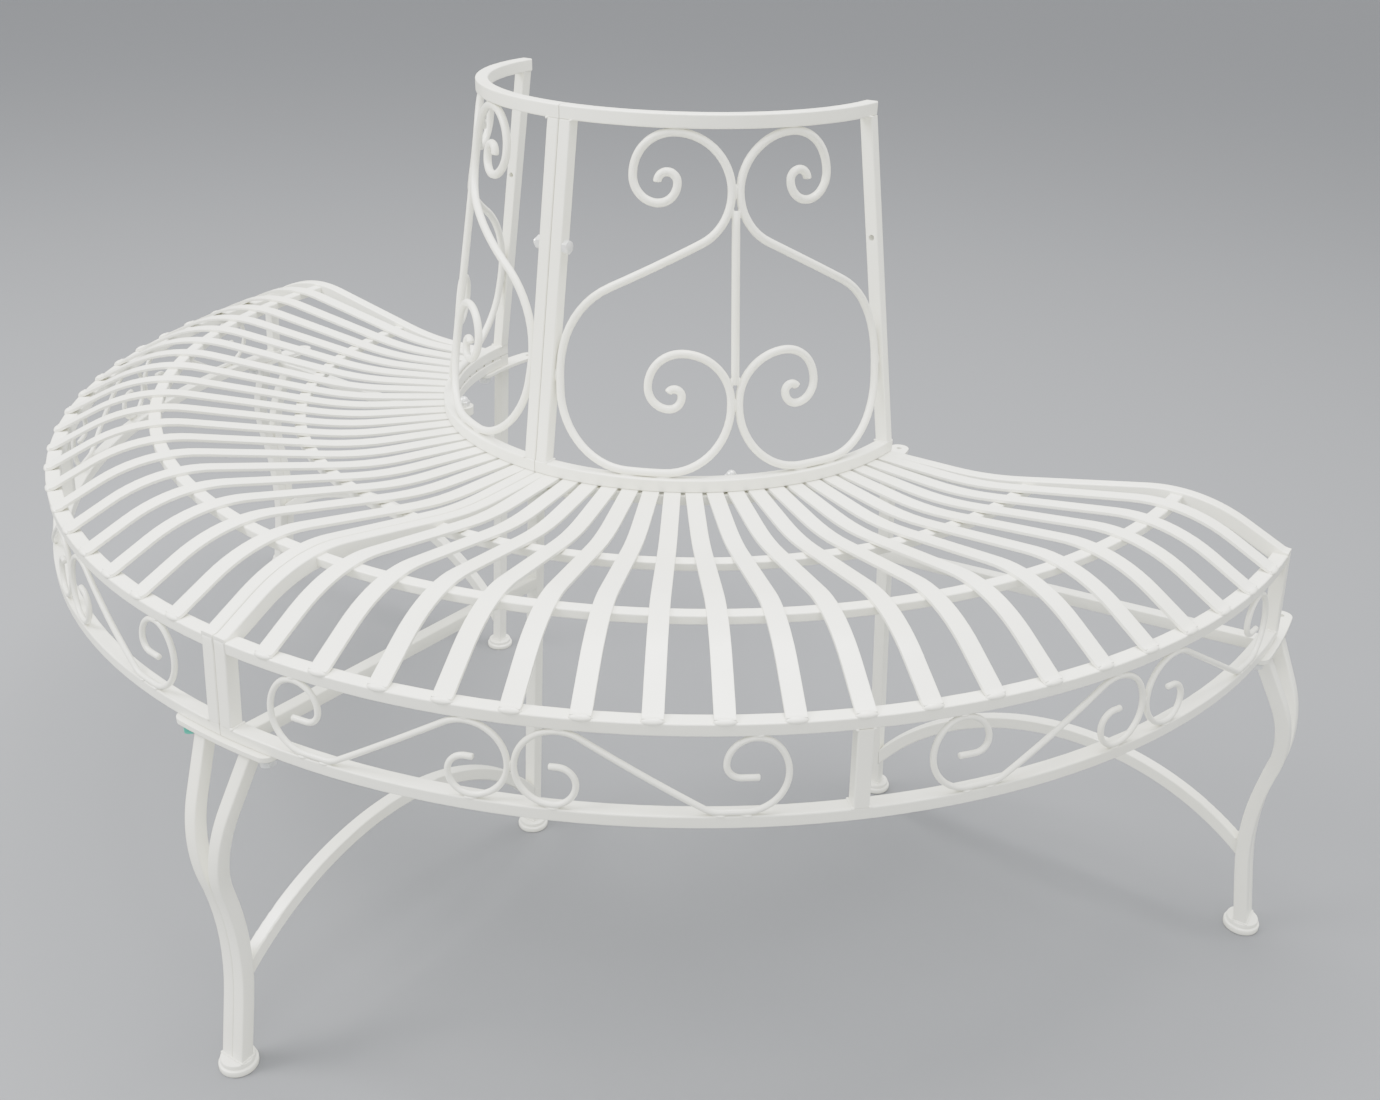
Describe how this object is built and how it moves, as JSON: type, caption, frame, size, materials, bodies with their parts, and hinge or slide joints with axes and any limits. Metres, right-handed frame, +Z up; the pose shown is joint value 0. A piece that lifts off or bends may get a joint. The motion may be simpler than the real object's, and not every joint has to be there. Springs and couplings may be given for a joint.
{
  "type": "tree bench",
  "caption": "Half-round garden bench that stands around a tree: curved slatted seat, scrolled backrest facing outward, scrolled apron, arched leg frames.",
  "frame": {"origin": "on the ground, under the middle of the bounding box", "axes": "+Z up, the seat faces -Y, +X to the right seen from the front, the tree stands on the +Y side"},
  "size_m": [1.583, 0.8525, 0.843],
  "materials": {
    "frame_paint": "satin",
    "fastener_zinc": "satin"
  },
  "bodies": {
    "root": {"right_rim_upper": "frame_paint", "right_rim_lower": "frame_paint", "right_seat_inner_rail": "frame_paint", "right_back_bottom_rail": "frame_paint", "right_back_top_rail": "frame_paint", "right_outer_bearer": "frame_paint", "right_inner_bearer": "frame_paint", "right_slats": "frame_paint", "right_side_rail_seam": "frame_paint", "right_side_rail_end": "frame_paint", "right_back_post_seam": "frame_paint", "right_back_post_end": "frame_paint", "right_apron_posts": "frame_paint", "right_apron_scrolls": "frame_paint", "right_back_scrolls": "frame_paint", "right_back_rod": "frame_paint", "right_mid_lugs": "frame_paint", "left_rim_upper": "frame_paint", "left_rim_lower": "frame_paint", "left_seat_inner_rail": "frame_paint", "left_back_bottom_rail": "frame_paint", "left_back_top_rail": "frame_paint", "left_outer_bearer": "frame_paint", "left_inner_bearer": "frame_paint", "left_slats": "frame_paint", "left_side_rail_seam": "frame_paint", "left_side_rail_end": "frame_paint", "left_back_post_seam": "frame_paint", "left_back_post_end": "frame_paint", "left_apron_posts": "frame_paint", "left_apron_scrolls": "frame_paint", "left_back_scrolls": "frame_paint", "left_back_rod": "frame_paint", "left_mid_lugs": "frame_paint", "left_end_outer_leg": "frame_paint", "left_end_plates": "frame_paint", "left_end_inner_leg": "frame_paint", "left_end_stay_bar": "frame_paint", "left_end_arch_brace": "frame_paint", "left_end_feet": "frame_paint", "seam_outer_leg": "frame_paint", "seam_plates": "frame_paint", "seam_inner_leg": "frame_paint", "seam_stay_bar": "frame_paint", "seam_arch_brace": "frame_paint", "seam_feet": "frame_paint", "right_end_outer_leg": "frame_paint", "right_end_plates": "frame_paint", "right_end_inner_leg": "frame_paint", "right_end_stay_bar": "frame_paint", "right_end_arch_brace": "frame_paint", "right_end_feet": "frame_paint", "leg_bolts": "fastener_zinc", "leg_washers": "fastener_zinc", "lug_bolts": "fastener_zinc", "lug_nuts": "fastener_zinc", "seam_bolt": "fastener_zinc", "seam_nut": "fastener_zinc"}
  },
  "joints": []
}
